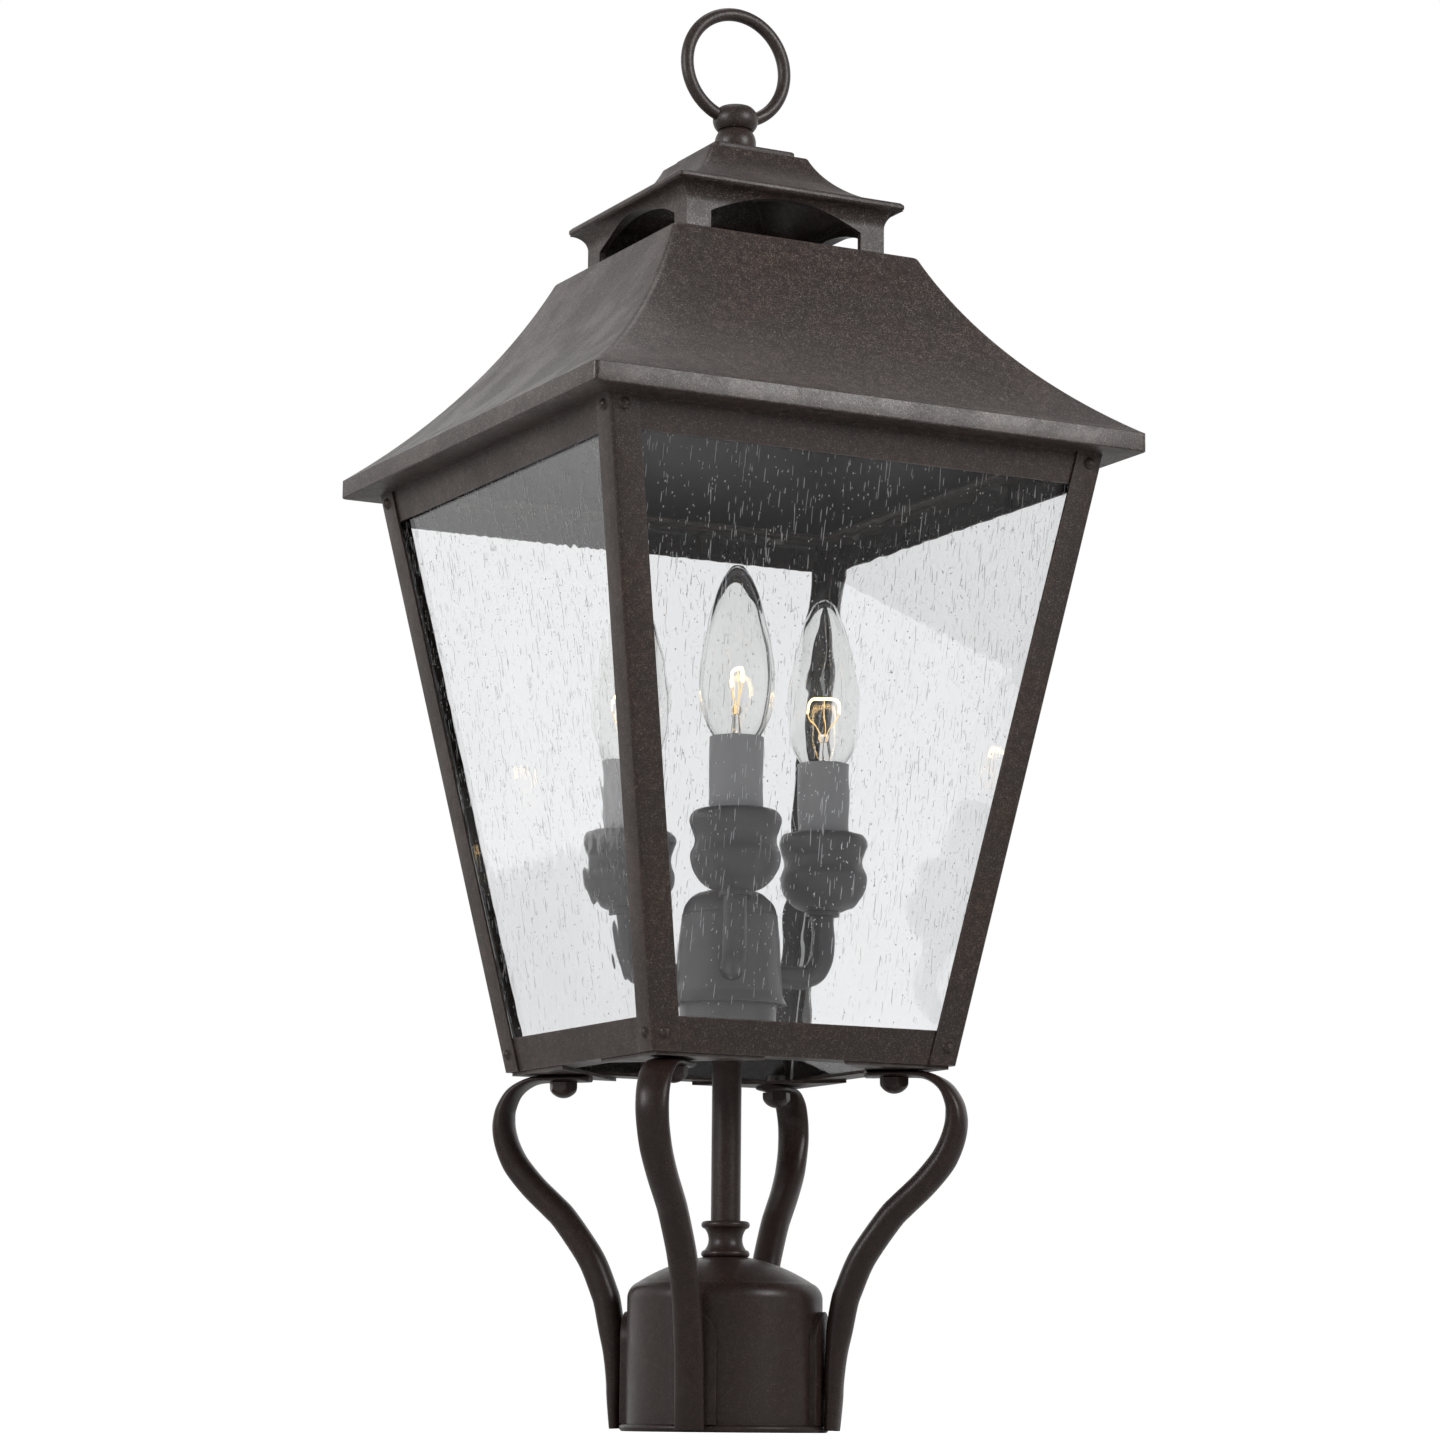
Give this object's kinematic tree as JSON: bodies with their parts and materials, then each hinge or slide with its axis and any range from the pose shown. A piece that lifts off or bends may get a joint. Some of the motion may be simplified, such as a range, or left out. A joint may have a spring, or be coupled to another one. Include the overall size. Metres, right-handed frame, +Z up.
{
  "type": "post top lantern",
  "caption": "Outdoor post top lantern: tapered cage of seeded glass under a concave hip roof with vented cupola and ring, on scroll arms over a round post fitter, with candle lights inside.",
  "frame": {"origin": "centre of the fitter's mouth at the bottom of the lantern, where the post enters", "axes": "+Z up along the post; -Y is the wide face on the right of the picture, -X the narrow one on its left"},
  "size_m": [0.2646, 0.2646, 0.6336],
  "materials": {
    "bronze": "satin dark bronze, lightly textured",
    "hardware": "satin",
    "pane_glass": "clear seeded glass",
    "lamp_glass": "clear glass",
    "lamp_metal": "plain nickel",
    "filament": "drawn wire",
    "holder": "moulded",
    "sleeve": "satin dark bronze"
  },
  "bodies": {
    "lantern": {"arm_bolts": "hardware", "arm_saddles": "bronze", "bottom_frame": "bronze", "candle_cup_1": "bronze", "candle_cup_2": "bronze", "candle_cup_3": "bronze", "candle_sleeve_1": "sleeve", "candle_sleeve_2": "sleeve", "candle_sleeve_3": "sleeve", "cap_nuts": "bronze", "centre_stem": "bronze", "cluster_body": "bronze", "corner_post_back_left": "bronze", "corner_post_back_right": "bronze", "corner_post_front_left": "bronze", "corner_post_front_right": "bronze", "cupola_body": "bronze", "cupola_cap": "bronze", "cupola_screws": "hardware", "finial_bead": "bronze", "finial_knuckle": "bronze", "finial_nut": "hardware", "finial_ring": "bronze", "frame_rivets": "bronze", "glass_clips": "hardware", "glass_pane_back": "pane_glass", "glass_pane_front": "pane_glass", "glass_pane_left": "pane_glass", "glass_pane_right": "pane_glass", "hub_bell": "bronze", "hub_cover": "bronze", "lamp_holder_1": "holder", "lamp_holder_2": "holder", "lamp_holder_3": "holder", "light_arm_1": "bronze", "light_arm_2": "bronze", "light_arm_3": "bronze", "main_roof": "bronze", "post_fitter": "bronze", "roof_screws": "hardware", "scroll_arm_back_left": "bronze", "scroll_arm_back_right": "bronze", "scroll_arm_front_left": "bronze", "scroll_arm_front_right": "bronze", "spool_collar": "bronze", "stem_nuts": "hardware", "top_frame": "bronze"},
    "lamp_1": {"lamp_glass_1": "lamp_glass", "lamp_cap_1": "lamp_metal", "lamp_filament_1": "filament"},
    "lamp_2": {"lamp_glass_2": "lamp_glass", "lamp_cap_2": "lamp_metal", "lamp_filament_2": "filament"},
    "lamp_3": {"lamp_glass_3": "lamp_glass", "lamp_cap_3": "lamp_metal", "lamp_filament_3": "filament"},
    "set_screw_right": {"set_screw_right": "bronze"},
    "set_screw_back": {"set_screw_back": "bronze"}
  },
  "joints": [
    {"name": "lamp_1_unscrew", "type": "slide", "parent": "lantern", "child": "lamp_1", "axis": [0, 0, 1], "range_m": [0, 0.0127]},
    {"name": "lamp_2_unscrew", "type": "slide", "parent": "lantern", "child": "lamp_2", "axis": [0, 0, 1], "range_m": [0, 0.0127]},
    {"name": "lamp_3_unscrew", "type": "slide", "parent": "lantern", "child": "lamp_3", "axis": [0, 0, 1], "range_m": [0, 0.0127]},
    {"name": "set_screw_right_drive", "type": "slide", "parent": "lantern", "child": "set_screw_right", "axis": [-1, 0, 0], "range_m": [0, 0.004]},
    {"name": "set_screw_back_drive", "type": "slide", "parent": "lantern", "child": "set_screw_back", "axis": [0, -1, 0], "range_m": [0, 0.004]}
  ]
}
